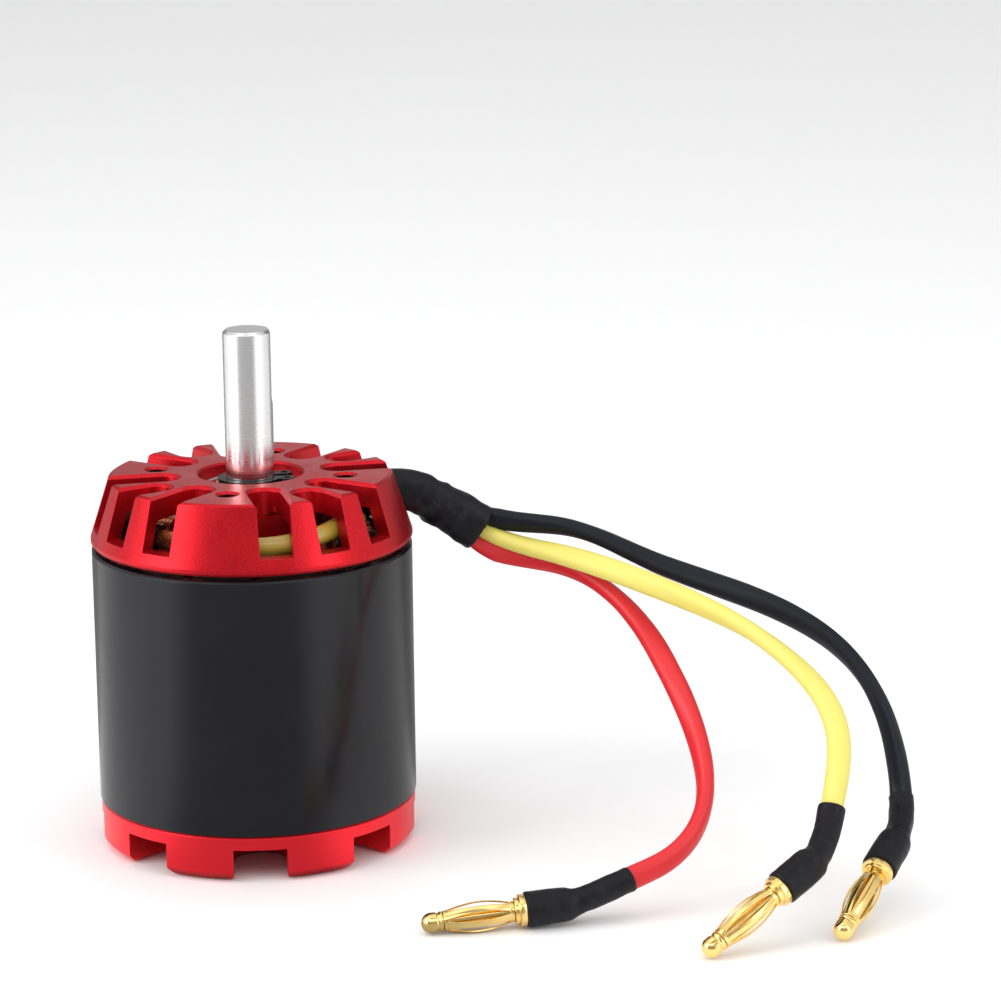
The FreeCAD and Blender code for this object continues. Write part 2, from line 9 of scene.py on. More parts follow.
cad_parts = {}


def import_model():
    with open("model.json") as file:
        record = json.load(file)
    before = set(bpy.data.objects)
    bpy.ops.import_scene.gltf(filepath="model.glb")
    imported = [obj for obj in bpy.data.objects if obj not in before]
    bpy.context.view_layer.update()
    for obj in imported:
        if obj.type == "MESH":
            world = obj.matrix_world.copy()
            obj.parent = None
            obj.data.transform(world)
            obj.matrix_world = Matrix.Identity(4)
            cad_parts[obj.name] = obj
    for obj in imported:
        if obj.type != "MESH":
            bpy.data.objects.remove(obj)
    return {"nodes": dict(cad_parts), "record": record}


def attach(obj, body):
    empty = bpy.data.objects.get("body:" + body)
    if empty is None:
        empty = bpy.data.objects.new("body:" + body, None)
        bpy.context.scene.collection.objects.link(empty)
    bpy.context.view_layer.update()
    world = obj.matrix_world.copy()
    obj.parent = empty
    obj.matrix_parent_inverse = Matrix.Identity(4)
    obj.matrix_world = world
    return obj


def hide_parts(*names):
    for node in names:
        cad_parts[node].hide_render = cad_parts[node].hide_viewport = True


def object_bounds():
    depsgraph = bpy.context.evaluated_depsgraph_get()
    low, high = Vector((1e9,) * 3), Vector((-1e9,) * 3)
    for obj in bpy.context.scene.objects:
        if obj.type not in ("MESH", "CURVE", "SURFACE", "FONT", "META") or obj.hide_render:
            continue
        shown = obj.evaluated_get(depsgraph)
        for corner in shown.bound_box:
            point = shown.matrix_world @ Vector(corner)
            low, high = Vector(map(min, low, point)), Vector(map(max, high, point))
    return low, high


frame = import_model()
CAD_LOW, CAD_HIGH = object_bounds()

MM = 0.001

# Camera and studio.
CAMERA_AT = Vector((139.8, -558.6, 132.9)) * MM
CAMERA_LOOK = Vector((-0.168, 0.958, -0.234)).normalized()
CAMERA_ROLL = math.radians(-0.6)
CAMERA_LENS = 128.5
SENSOR_WIDTH = 36.0
WORLD_LEVEL = 0.84
FLOOR_Z = CAD_LOW[2]
FLOOR_REACH = 6.0

# Parts of the motor that the materials follow, in millimetres.
MOUNT_HOLE_PCD = 32.0
MOUNT_HOLE_R = 1.65
MOUNT_PLATE_BOTTOM = -12.0
BELL_TOP = -48.0
VARNISH_SHADE_R = 22.0


# ---- shader helpers ----------------------------------------------------------------------------------
class Shader:
    """A node material with a principled surface, and short calls to add what drives it."""

    def __init__(self, name, colour, metallic=0.0, roughness=0.5, **inputs):
        self.material = bpy.data.materials.new(name)
        self.material.use_nodes = True
        self.tree = self.material.node_tree
        self.surface = self.tree.nodes["Principled BSDF"]
        self.surface.inputs["Base Color"].default_value = (*colour, 1.0)
        self.surface.inputs["Metallic"].default_value = metallic
        self.surface.inputs["Roughness"].default_value = roughness
        for key, value in inputs.items():
            self.surface.inputs[key.replace("_", " ")].default_value = value
        self.place = self.add("ShaderNodeTexCoord").outputs["Object"]
        self.normal = None

    def add(self, kind, **settings):
        node = self.tree.nodes.new(kind)
        for key, value in settings.items():
            setattr(node, key, value)
        return node

    def link(self, source, target):
        self.tree.links.new(source, target)

    def noise(self, scale, detail=3.0, stretch=(1, 1, 1), rough=0.5):
        mapping = self.add("ShaderNodeMapping")
        mapping.inputs["Scale"].default_value = stretch
        self.link(self.place, mapping.inputs["Vector"])
        node = self.add("ShaderNodeTexNoise")
        node.inputs["Scale"].default_value = scale
        node.inputs["Detail"].default_value = detail
        node.inputs["Roughness"].default_value = rough
        self.link(mapping.outputs["Vector"], node.inputs["Vector"])
        return node.outputs["Fac"]

    def ramp(self, source, low, high, at=(0.35, 0.65)):
        """Socket that goes from low to high as the source goes over the span at."""
        node = self.add("ShaderNodeMapRange")
        node.inputs["From Min"].default_value = at[0]
        node.inputs["From Max"].default_value = at[1]
        node.inputs["To Min"].default_value = low
        node.inputs["To Max"].default_value = high
        self.link(source, node.inputs["Value"])
        return node.outputs["Result"]

    def tint(self, factor, low, high):
        """Drives the base colour between two fixed ones."""
        mix = self.add("ShaderNodeMix", data_type="RGBA")
        mix.inputs["A"].default_value = (*low, 1.0)
        mix.inputs["B"].default_value = (*high, 1.0)
        self.link(factor, mix.inputs["Factor"])
        self.link(mix.outputs["Result"], self.surface.inputs["Base Color"])
        return mix

    def mixed(self, factor, colour, other):
        """Socket of a colour mixed with a fixed one."""
        mix = self.add("ShaderNodeMix", data_type="RGBA")
        mix.inputs["B"].default_value = (*other, 1.0)
        self.link(factor, mix.inputs["Factor"])
        self.link(colour, mix.inputs["A"])
        return mix.outputs["Result"]

    def rough(self, factor, low, high, at=(0.35, 0.65)):
        self.link(self.ramp(factor, low, high, at), self.surface.inputs["Roughness"])

    def soft_edges(self, radius):
        """Rounds sharp edges in the shading, as a tumbled or bevelled edge would catch light."""
        bevel = self.add("ShaderNodeBevel", samples=6)
        bevel.inputs["Radius"].default_value = radius
        self.normal = bevel.outputs["Normal"]
        self.link(self.normal, self.surface.inputs["Normal"])

    def bump(self, height, strength, distance):
        node = self.add("ShaderNodeBump")
        node.inputs["Strength"].default_value = strength
        node.inputs["Distance"].default_value = distance
        self.link(height, node.inputs["Height"])
        if self.normal is not None:
            self.link(self.normal, node.inputs["Normal"])
        self.normal = node.outputs["Normal"]
        self.link(self.normal, self.surface.inputs["Normal"])


def red_anodised():
    """Deep red blasted finish. A lighter colour on the turned bell is painted light for the light its front
    catches, and painted shade darkens the inside of the mount holes.
    """
    s = Shader("red_anodised", (0.7, 0.008, 0.02), 0.84, 0.34, Coat_Weight=0.1, Coat_Roughness=0.25)
    s.soft_edges(0.16 * MM)
    grain = s.noise(7500, 2.0)
    cloud = s.noise(140, 4.0)
    deep = s.tint(s.ramp(grain, 0.0, 1.0, (0.3, 0.72)), (0.44, 0.002, 0.008), (0.76, 0.014, 0.026))
    split = s.add("ShaderNodeSeparateXYZ")
    s.link(s.place, split.inputs["Vector"])
    # Painted light: below the top of the bell the base colour turns lighter, standing in for the light that
    # the bell's front catches.
    bell = s.ramp(split.outputs["Z"], 1.0, 0.0, ((BELL_TOP - 4.0) * MM, BELL_TOP * MM))
    bell_painted_light = s.mixed(bell, deep.outputs["Result"], (0.9, 0.022, 0.036))
    turned = s.add("ShaderNodeMapping")
    turned.inputs["Rotation"].default_value[2] = math.radians(45)
    turned.inputs["Scale"].default_value[2] = 0.0
    s.link(s.place, turned.inputs["Vector"])
    quarter = s.add("ShaderNodeVectorMath", operation="ABSOLUTE")
    s.link(turned.outputs["Vector"], quarter.inputs[0])
    away = s.add("ShaderNodeVectorMath", operation="DISTANCE")
    away.inputs[1].default_value = (MOUNT_HOLE_PCD / 2 * MM * math.sqrt(0.5),) * 2 + (0.0,)
    s.link(quarter.outputs["Vector"], away.inputs[0])
    hole_edge = ((MOUNT_HOLE_R + 0.01) * MM, (MOUNT_HOLE_R + 0.09) * MM)
    inside = s.ramp(away.outputs["Value"], 1.0, 0.0, hole_edge)
    upper = s.ramp(split.outputs["Z"], 0.0, 1.0, (MOUNT_PLATE_BOTTOM * MM, (MOUNT_PLATE_BOTTOM + 1.0) * MM))
    # Painted shade: on the walls of the mount holes the colour turns near black, standing in for the shade
    # inside them.
    hole_shade_mask = s.add("ShaderNodeMath", operation="MULTIPLY")
    s.link(inside, hole_shade_mask.inputs[0])
    s.link(upper, hole_shade_mask.inputs[1])
    hole_painted_shade = s.mixed(hole_shade_mask.outputs["Value"], bell_painted_light, (0.05, 0.004, 0.006))
    s.link(hole_painted_shade, s.surface.inputs["Base Color"])
    s.rough(cloud, 0.30, 0.40)
    s.bump(grain, 0.3, 0.02 * MM)
    return s.material


def black_can():
    """Smooth black paint."""
    s = Shader("black_can", (0.006, 0.006, 0.008), 0.0, 0.2, Specular_IOR_Level=0.3, Coat_Weight=0.04,
               Coat_Roughness=0.1)
    s.soft_edges(0.2 * MM)
    streak = s.noise(900, 3.0, (1, 1, 0.04))
    smear = s.noise(90, 5.0)
    s.tint(smear, (0.004, 0.004, 0.006), (0.007, 0.007, 0.010))
    s.rough(smear, 0.17, 0.26)
    s.bump(streak, 0.04, 0.01 * MM)
    return s.material


def ground_steel():
    """Bright steel with fine grinding marks round it."""
    s = Shader("ground_steel", (0.74, 0.74, 0.76), 1.0, 0.16)
    s.soft_edges(0.15 * MM)
    rings = s.noise(5200, 2.0, (0.02, 0.02, 1))
    s.tint(s.noise(160, 4.0), (0.76, 0.75, 0.75), (0.87, 0.86, 0.86))
    s.rough(rings, 0.15, 0.28)
    s.bump(rings, 0.05, 0.006 * MM)
    return s.material


def plain_metal(name, low, high, roughness):
    s = Shader(name, low, 1.0, roughness)
    s.soft_edges(0.12 * MM)
    grain = s.noise(2500, 3.0)
    s.tint(grain, low, high)
    s.rough(grain, roughness * 0.75, roughness * 1.3)
    s.bump(grain, 0.06, 0.01 * MM)
    return s.material


def lamination_steel():
    """Stack of thin sheets, seen as fine bands along the axis."""
    s = Shader("lamination_steel", (0.2, 0.2, 0.21), 0.9, 0.45)
    wave = s.add("ShaderNodeTexWave", wave_type="BANDS", bands_direction="Z")
    wave.inputs["Scale"].default_value = 900.0
    s.link(s.place, wave.inputs["Vector"])
    s.tint(wave.outputs["Fac"], (0.1, 0.1, 0.11), (0.3, 0.3, 0.31))
    s.rough(s.noise(900), 0.35, 0.55)
    s.bump(wave.outputs["Fac"], 0.5, 0.05 * MM)
    return s.material


def fibre():
    s = Shader("insulator_fibre", (0.04, 0.035, 0.03), 0.0, 0.7)
    grain = s.noise(1800, 4.0)
    s.tint(grain, (0.025, 0.022, 0.018), (0.06, 0.05, 0.04))
    s.rough(grain, 0.6, 0.8)
    s.bump(grain, 0.3, 0.03 * MM)
    return s.material


def copper_wire():
    s = Shader("copper_wire", (0.42, 0.14, 0.045), 0.75, 0.3, Coat_Weight=0.6, Coat_Roughness=0.15)
    blotch = s.noise(700, 4.0)
    s.tint(blotch, (0.28, 0.065, 0.02), (0.72, 0.24, 0.08))
    s.rough(s.noise(2600), 0.22, 0.4)
    s.bump(blotch, 0.15, 0.03 * MM)
    return s.material


def gold_plate():
    s = Shader("gold_plate", (1.0, 0.72, 0.26), 1.0, 0.14)
    s.soft_edges(0.08 * MM)
    cloud = s.noise(500, 4.0)
    turning = s.noise(4200, 2.0)
    s.tint(cloud, (0.94, 0.62, 0.18), (1.0, 0.78, 0.34))
    s.rough(cloud, 0.09, 0.22)
    s.bump(turning, 0.05, 0.008 * MM)
    return s.material


def insulation(name, low, high, varnish_shade_colour, roughness, specular=0.5):
    """Silicone sleeve, clean outside; within the housing it is darkened partly by clear varnishing and
    partly by painted shade.
    """
    s = Shader(name, low, 0.0, roughness, Specular_IOR_Level=specular, Subsurface_Weight=0.06,
               Subsurface_Scale=0.4 * MM)
    cloud = s.noise(160, 4.0)
    grain = s.noise(3600, 3.0)
    clean = s.tint(cloud, low, high)
    flat = s.add("ShaderNodeVectorMath", operation="MULTIPLY")
    flat.inputs[1].default_value = (1.0, 1.0, 0.0)
    s.link(s.place, flat.inputs[0])
    from_axis = s.add("ShaderNodeVectorMath", operation="LENGTH")
    s.link(flat.outputs["Vector"], from_axis.inputs[0])
    # Varnishing and painted shade: within the housing the base colour is darker, partly for the clear
    # varnishing and partly as painted shade standing in for the shade there. The same mask lays on the clear
    # coat.
    varnish_shade_mask = s.ramp(from_axis.outputs["Value"], 1.0, 0.0, (VARNISH_SHADE_R * MM, (VARNISH_SHADE_R + 2.0) * MM))
    s.link(s.mixed(varnish_shade_mask, clean.outputs["Result"], varnish_shade_colour), s.surface.inputs["Base Color"])
    s.link(varnish_shade_mask, s.surface.inputs["Coat Weight"])
    s.surface.inputs["Coat Roughness"].default_value = 0.06
    s.rough(grain, roughness * 0.85, roughness * 1.15)
    s.bump(grain, 0.12, 0.02 * MM)
    return s.material


def heatshrink():
    s = Shader("black_heatshrink", (0.01, 0.01, 0.012), 0.0, 0.5, Specular_IOR_Level=0.22)
    grain = s.noise(2600, 4.0)
    dust = s.noise(420, 5.0, rough=0.65)
    s.tint(s.ramp(dust, 0.0, 1.0, (0.5, 0.75)), (0.005, 0.005, 0.007), (0.014, 0.014, 0.017))
    s.rough(dust, 0.38, 0.56)
    s.bump(grain, 0.3, 0.03 * MM)
    return s.material


# Angle off the camera's side, in degrees, and the brightness that glossy parts see there.
STUDIO_BANDS = [
    (180, 0.62), (165, 0.25), (140, 0.25), (125, 0.8), (100, 0.85), (75, 1.0), (52, 1.0), (30, 0.36),
    (0, 0.36),
]
DARK_BAND_TURN = -4.0


def studio_bands(tree, direction):
    """Brightness that glossy parts see round the compass: dark by the camera, pale at the sides, dark flags
    either side of the background."""
    add = tree.nodes.new
    flat = add("ShaderNodeVectorMath")
    flat.operation = "MULTIPLY"
    flat.inputs[1].default_value = (1.0, 1.0, 0.0)
    tree.links.new(direction, flat.inputs[0])
    unit = add("ShaderNodeVectorMath")
    unit.operation = "NORMALIZE"
    tree.links.new(flat.outputs["Vector"], unit.inputs[0])
    dot = add("ShaderNodeVectorMath")
    dot.operation = "DOT_PRODUCT"
    towards_camera = Vector((-CAMERA_LOOK.x, -CAMERA_LOOK.y, 0.0)).normalized()
    dot.inputs[1].default_value = Matrix.Rotation(math.radians(DARK_BAND_TURN), 3, "Z") @ towards_camera
    tree.links.new(unit.outputs["Vector"], dot.inputs[0])
    spread = add("ShaderNodeMapRange")
    spread.inputs["From Min"].default_value = -1.0
    tree.links.new(dot.outputs["Value"], spread.inputs["Value"])
    bands = add("ShaderNodeValToRGB")
    bands.color_ramp.interpolation = "EASE"
    stops = bands.color_ramp.elements
    while len(stops) < len(STUDIO_BANDS):
        stops.new(0.5)
    for stop, (angle, level) in zip(stops, STUDIO_BANDS):
        stop.position = (1 + math.cos(math.radians(angle))) / 2
        stop.color = (level, level, level, 1.0)
    tree.links.new(spread.outputs["Result"], bands.inputs["Fac"])
    return bands.outputs["Color"]


def for_glossy_rays(tree, plain, banded):
    """Colour that is banded for glossy rays and plain for all others."""
    path = tree.nodes.new("ShaderNodeLightPath")
    mix = tree.nodes.new("ShaderNodeMix")
    mix.data_type = "RGBA"
    tree.links.new(path.outputs["Is Glossy Ray"], mix.inputs["Factor"])
    tree.links.new(plain, mix.inputs["A"])
    tree.links.new(banded, mix.inputs["B"])
    return mix.outputs["Result"]


def pale_floor():
    """Pale floor, clear from below and banded for glossy parts."""
    s = Shader("pale_floor", (0.93, 0.93, 0.935), 0.0, 0.6)
    cloud = s.noise(6, 2.0)
    pale = s.tint(cloud, (0.925, 0.925, 0.93), (0.94, 0.94, 0.945))
    s.link(for_glossy_rays(s.tree, pale.outputs["Result"], studio_bands(s.tree, s.place)),
           s.surface.inputs["Base Color"])
    below = s.add("ShaderNodeNewGeometry").outputs["Backfacing"]
    s.link(s.ramp(below, 1.0, 0.0, (0.0, 1.0)), s.surface.inputs["Alpha"])
    return s.material


MATERIALS = {
    "red_anodised": red_anodised(),
    "black_can": black_can(),
    "ground_steel": ground_steel(),
    "bearing_steel": plain_metal("bearing_steel", (0.55, 0.56, 0.58), (0.72, 0.73, 0.75), 0.2),
    "black_steel": plain_metal("black_steel", (0.02, 0.02, 0.022), (0.05, 0.05, 0.052), 0.35),
    "shim_brass": plain_metal("shim_brass", (0.8, 0.55, 0.2), (0.95, 0.7, 0.32), 0.2),
    "magnet_nickel": plain_metal("magnet_nickel", (0.5, 0.5, 0.48), (0.68, 0.68, 0.65), 0.25),
    "lamination_steel": lamination_steel(),
    "insulator_fibre": fibre(),
    "copper_wire": copper_wire(),
    "gold_plate": gold_plate(),
    "black_heatshrink": heatshrink(),
    # The third colour of each sleeve is its colour within the housing, darkened partly for varnishing and
    # partly as painted shade.
    "red_insulation": insulation("red_insulation", (0.60, 0.008, 0.014), (0.70, 0.014, 0.022),
                                 (0.3, 0.01, 0.01), 0.42),
    "yellow_insulation": insulation("yellow_insulation", (0.72, 0.63, 0.12), (0.79, 0.70, 0.17),
                                    (0.42, 0.32, 0.035), 0.48),
    "black_insulation": insulation("black_insulation", (0.004, 0.005, 0.010), (0.008, 0.009, 0.016),
                                   (0.004, 0.004, 0.005), 0.4, specular=0.22),
}


for entry in frame["record"]["subparts"]:
    slots = frame["nodes"][entry["node"]].data.materials
    slots.clear()
    slots.append(MATERIALS[entry["material_slot"]])


# ---- mesh helpers ------------------------------------------------------------------------------------
def polar(r, angle, z=0.0):
    a = math.radians(angle)
    return Vector((r * math.cos(a), r * math.sin(a), z))


def new_piece(name, vertices, faces, slot):
    """Smooth piece of the stator, from vertices in millimetres."""
    mesh = bpy.data.meshes.new(name)
    mesh.from_pydata([tuple(Vector(v) * MM) for v in vertices], [], faces)
    mesh.validate()
    bm = bmesh.new()
    bm.from_mesh(mesh)
    bmesh.ops.recalc_face_normals(bm, faces=bm.faces)
    bm.to_mesh(mesh)
    bm.free()
    mesh.polygons.foreach_set("use_smooth", [True] * len(mesh.polygons))
    obj = bpy.data.objects.new(name, mesh)
    bpy.context.scene.collection.objects.link(obj)
    mesh.materials.append(MATERIALS[slot])
    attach(obj, "stator")
    return obj


def spline(points, step=0.5):
    """Natural cubic spline through points: samples about every step millimetres, and knot distances."""
    p = np.array([tuple(q) for q in points], float)
    t = np.concatenate([[0.0], np.cumsum(np.linalg.norm(np.diff(p, axis=0), axis=1))])
    n = len(p)
    h = np.diff(t)
    a = np.zeros((n, n))
    b = np.zeros((n, 3))
    a[0, 0] = a[-1, -1] = 1.0
    for i in range(1, n - 1):
        a[i, i - 1] = h[i - 1]
        a[i, i] = 2 * (h[i - 1] + h[i])
        a[i, i + 1] = h[i]
        b[i] = 6 * ((p[i + 1] - p[i]) / h[i] - (p[i] - p[i - 1]) / h[i - 1])
    m = np.linalg.solve(a, b)
    u = np.linspace(0, t[-1], max(8, int(t[-1] / step)))
    k = np.clip(np.searchsorted(t, u, side="right") - 1, 0, n - 2)
    d = (u - t[k])[:, None]
    e = (t[k + 1] - u)[:, None]
    g = h[k][:, None]
    curve = (m[k] * e ** 3 + m[k + 1] * d ** 3) / (6 * g)
    curve += (p[k] / g - m[k] * g / 6) * e + (p[k + 1] / g - m[k + 1] * g / 6) * d
    return [Vector(c) for c in curve], t


def tangents_of(points):
    result = []
    for i in range(len(points)):
        low = points[max(0, i - 1)]
        high = points[min(len(points) - 1, i + 1)]
        result.append((high - low).normalized())
    return result


def frames_of(points):
    """Cross directions along a path, carried along without twist."""
    tangents = tangents_of(points)
    side = tangents[0].cross(Vector((0, 0, 1))).normalized()
    frames = []
    for tangent in tangents:
        side = (side - tangent * side.dot(tangent)).normalized()
        frames.append((side, tangent.cross(side)))
    return frames


def sweep(points, section, sides):
    """Vertices and faces of a closed bar; section(i, angle) gives the radius at station i."""
    vertices = []
    faces = []
    for i, (point, (side, up)) in enumerate(zip(points, frames_of(points))):
        for j in range(sides):
            angle = 2 * math.pi * j / sides
            r = section(i, angle)
            vertices.append(point + side * (r * math.cos(angle)) + up * (r * math.sin(angle)))
    for i in range(len(points) - 1):
        for j in range(sides):
            k = (j + 1) % sides
            faces.append((i * sides + j, i * sides + k, (i + 1) * sides + k, (i + 1) * sides + j))
    faces.append(tuple(range(sides))[::-1])
    last = (len(points) - 1) * sides
    faces.append(tuple(last + j for j in range(sides)))
    return vertices, faces


def merge(parts):
    vertices = []
    faces = []
    for v, f in parts:
        base = len(vertices)
        vertices += v
        faces += [tuple(base + i for i in face) for face in f]
    return vertices, faces


def lathe(profile, sides=64):
    """Closed body of revolution about +Z from (radius, height) points whose ends lie on the axis."""
    vertices = [Vector((0, 0, profile[0][1]))]
    faces = []
    rings = profile[1:-1]
    for r, z in rings:
        for j in range(sides):
            angle = 2 * math.pi * j / sides
            vertices.append(Vector((r * math.cos(angle), r * math.sin(angle), z)))
    vertices.append(Vector((0, 0, profile[-1][1])))
    for j in range(sides):
        k = (j + 1) % sides
        faces.append((0, 1 + k, 1 + j))
        for i in range(len(rings) - 1):
            a = 1 + i * sides
            b = a + sides
            faces.append((a + j, a + k, b + k, b + j))
        a = 1 + (len(rings) - 1) * sides
        faces.append((a + j, a + k, len(vertices) - 1))
    return vertices, faces


def moved(part, matrix):
    vertices, faces = part
    return [matrix @ v for v in vertices], faces


def grow(distance, length):
    """Rises from 0 to 1 over a length."""
    return min(1.0, max(0.0, distance / length))


def rumple(point, size, seed=0.0):
    """Smooth noise between -1 and 1 at a point in millimetres, with features of the given size."""
    return noise.noise(Vector(point) / size + Vector((seed, seed * 1.7, -seed)))


# ---- motor leads -------------------------------------------------------------------------------------
LEAD_EXIT = 22.5
# Stations of the lead boot: radius, angle, height, half width across, half height, gap between leads.
BOOT_STATIONS = [
    (21.0, LEAD_EXIT, -4.4, 2.5, 3.7, 2.15),
    (24.0, LEAD_EXIT, -4.4, 2.55, 3.75, 2.15),
    (27.3, LEAD_EXIT, -4.9, 2.8, 3.7, 2.35),
    (30.6, LEAD_EXIT - 0.4, -6.7, 3.2, 3.9, 2.5),
    (34.4, LEAD_EXIT - 1.0, -9.1, 3.5, 4.2, 2.6),
    (38.4, LEAD_EXIT - 1.7, -11.8, 3.6, 4.3, 2.7),
]
# Way-points inside the housing, (radius, angle, height), from the coil to the lead boot.
INNER_ROUTES = {
    "yellow": [(19.8, -88, -8.3), (20.3, -67.5, -8.0), (20.2, -45, -7.0), (19.1, -22, -6.2),
               (18.2, -2, -6.9), (16.8, 13, -7.2), (16.8, 20.0, -5.9), (18.6, 22.5, -4.7)],
    "black": [(20.2, -36, -8.7), (18.6, -20, -8.7), (15.6, -5, -8.6), (14.0, 8, -8.3),
              (13.7, 18, -6.7), (14.1, 22.0, -4.1), (16.6, 22.5, -2.4)],
    "red": [(20.6, 50, -8.6), (19.6, 40, -8.2), (18.4, 31, -7.4), (18.9, 25.0, -6.8)],
}
# Way-points (x, y, z) from the lead boot to the plug boot.
OUTER_ROUTES = {
    "red": [(49.5, 12.4, -17.3), (62.6, 5.4, -23.2), (69.9, -3.9, -30.0), (76.0, -13.3, -39.4),
            (77.5, -21.6, -48.6), (73.6, -27.9, -53.6)],
    "yellow": [(49.9, 9.2, -14.6), (66.0, 2.4, -17.4), (78.4, -3.7, -20.5), (91.0, -12.5, -25.6),
               (98.1, -19.0, -32.7), (99.2, -22.6, -38.0)],
    "black": [(50.5, 13.0, -10.9), (64.8, 9.7, -15.1), (83.4, 3.8, -19.8), (99.9, -2.4, -28.0),
              (106.4, -6.8, -38.9)],
}
STACK_ORDER = {"black": 1, "yellow": 0, "red": -1}
# Knot of each route up to which the sleeve is still full inside the housing.
THIN_KNOT = {"yellow": 4, "black": 1, "red": 1}
# Centre of the rounded tip, direction in plan, rise along the plug, and where its boot ends on the lead.
PLUGS = {
    "red": (Vector((38.1, -44.7, -60.4)), 20.0, 4.0, Vector((67.5, -32.5, -56.0))),
    "yellow": (Vector((82.3, -49.0, -60.4)), 43.6, 26.5, Vector((98.5, -26.2, -44.8))),
    "black": (Vector((101.5, -38.5, -60.4)), 71.3, 21.7, Vector((108.3, -9.3, -48.2))),
}
TIP_R = 1.6
CUP_END = 23.0
CUP_FLOOR = 17.5
SLEEVE_THIN_R = 1.15
SLEEVE_SWELL = 0.5
VARNISH_SWELL = {"yellow": 0.25, "black": 0.0, "red": 0.0}
PLUG_BOOT_START = 16.55
PLUG_BOOT_R = 2.78
PLUG_BOOT_THIN_R = 2.08


def plug_axis(colour):
    tip, plan, rise, _ = PLUGS[colour]
    along = polar(math.cos(math.radians(rise)), plan, math.sin(math.radians(rise)))
    return tip - along * TIP_R, along


def lead_points(colour):
    points = [polar(*p) for p in INNER_ROUTES[colour]]
    for r, angle, z, _, _, gap in BOOT_STATIONS:
        points.append(polar(r, angle, z + gap * STACK_ORDER[colour]))
    boot_index = len(points) - 1
    points += [Vector(p) for p in OUTER_ROUTES[colour]]
    start, along = plug_axis(colour)
    points += [PLUGS[colour][3], start + along * CUP_END, start + along * CUP_FLOOR]
    return points, boot_index


def lead_sleeve(colour, phase):
    """Soft silicone sleeve over a strand bundle: slightly oval, with lazy turns and shallow dents."""
    knots, boot_index = lead_points(colour)
    path, t = spline(knots)
    boot_at = t[boot_index]
    thin_at = t[THIN_KNOT[colour]]
    end_at = t[-2]
    path = path[:int(len(path) * end_at / t[-1])]
    total = len(path)

    def section(i, angle):
        s = end_at * i / total
        near_coil = grow(thin_at - s, 4.0)
        full = max(grow(s - boot_at + 2.0, 5.0), near_coil)
        base = SLEEVE_THIN_R + full * SLEEVE_SWELL + VARNISH_SWELL[colour] * near_coil
        oval = 1.0 + 0.16 * full * math.cos(2 * (angle - phase - s * 0.055))
        dent = 0.05 * full * rumple((s * 0.9, math.cos(angle) * 2, math.sin(angle) * 2), 4.5, phase)
        return base * oval + dent

    piece = new_piece(colour + "_sleeve_soft", *sweep(path, section, 28), colour + "_insulation")
    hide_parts(colour + "_lead_sleeve")


def plug_profile():
    """Outline of the turned plug, (radius, height) from the rounded tip to the end of the solder cup."""
    cap = [(0.0, 0.0)]
    for i in range(1, 9):
        a = math.pi / 2 * i / 8
        cap.append((TIP_R * math.sin(a), 1.5 * (1 - math.cos(a))))
    body = [
        (1.6, 2.3), (1.52, 2.38), (1.44, 2.5), (1.44, 2.8), (1.52, 2.92), (1.6, 3.0), (1.6, 3.25),
        (1.5, 3.36), (1.28, 3.4), (1.22, 3.45), (1.22, 14.6), (2.02, 14.66), (2.1, 14.74), (2.1, 15.3),
        (2.2, 15.38), (2.47, 15.42), (2.55, 15.5), (2.55, 16.38), (2.48, 16.48), (2.3, 16.5),
        (2.3, CUP_END), (0.0, CUP_END),
    ]
    return cap + body


def spring_leaf(index):
    """One bowed leaf of the lantern spring, narrowing a little towards its middle."""
    front = 3.9
    rear = 14.3
    middle = 9.1
    ring_r = 1.62
    bulge = 0.78
    thickness = 0.26
    steps = 28
    across = 4
    vertices = []
    faces = []
    for i in range(steps + 1):
        z = front + (rear - front) * i / steps
        u = (z - middle) / ((rear - front) / 2)
        bow = max(0.0, 1 - u * u) ** 1.2
        radius = ring_r + bulge * bow
        half = 0.66 - 0.16 * bow
        for layer in (0.0, -thickness):
            for j in range(across + 1):
                a = (half / ring_r) * (2 * j / across - 1) * (ring_r / radius)
                a += index * math.pi / 3
                r = radius + layer
                vertices.append(Vector((r * math.cos(a), r * math.sin(a), z)))
    row = 2 * (across + 1)
    for i in range(steps):
        for j in range(across):
            a = i * row + j
            faces.append((a, a + 1, a + row + 1, a + row))
            b = a + across + 1
            faces.append((b + row, b + row + 1, b + 1, b))
        for j in (0, across):
            a = i * row + j
            b = a + across + 1
            faces.append((a, a + row, b + row, b) if j == 0 else (b, b + row, a + row, a))
    for i in (0, steps):
        a = i * row
        for j in range(across):
            b = a + across + 1
            quad = (a + j, b + j, b + j + 1, a + j + 1)
            faces.append(quad if i == 0 else quad[::-1])
    return vertices, faces


def bullet_plug(colour):
    """Gold plug: a turned body with a lantern spring of six leaves between two rings."""
    start, along = plug_axis(colour)
    place = Matrix.Translation(start) @ Vector((0, 0, 1)).rotation_difference(along).to_matrix().to_4x4()
    body = new_piece(colour + "_plug_turned", *moved(lathe(plug_profile()), place), "gold_plate")
    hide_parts(colour + "_plug_body")
    rings = []
    for low, high in ((3.45, 4.3), (13.9, 14.6)):
        rings.append(lathe([(0.0, low), (1.56, low), (1.64, low + 0.08), (1.64, high - 0.08),
                            (1.56, high), (0.0, high)], 48))
    parts = rings + [spring_leaf(i) for i in range(6)]
    spring = new_piece(colour + "_plug_lantern", *moved(merge(parts), place), "gold_plate")
    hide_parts(colour + "_plug_spring")
    for piece in (body, spring):
        piece.modifiers.new("flat_ends", "EDGE_SPLIT").split_angle = math.radians(38)


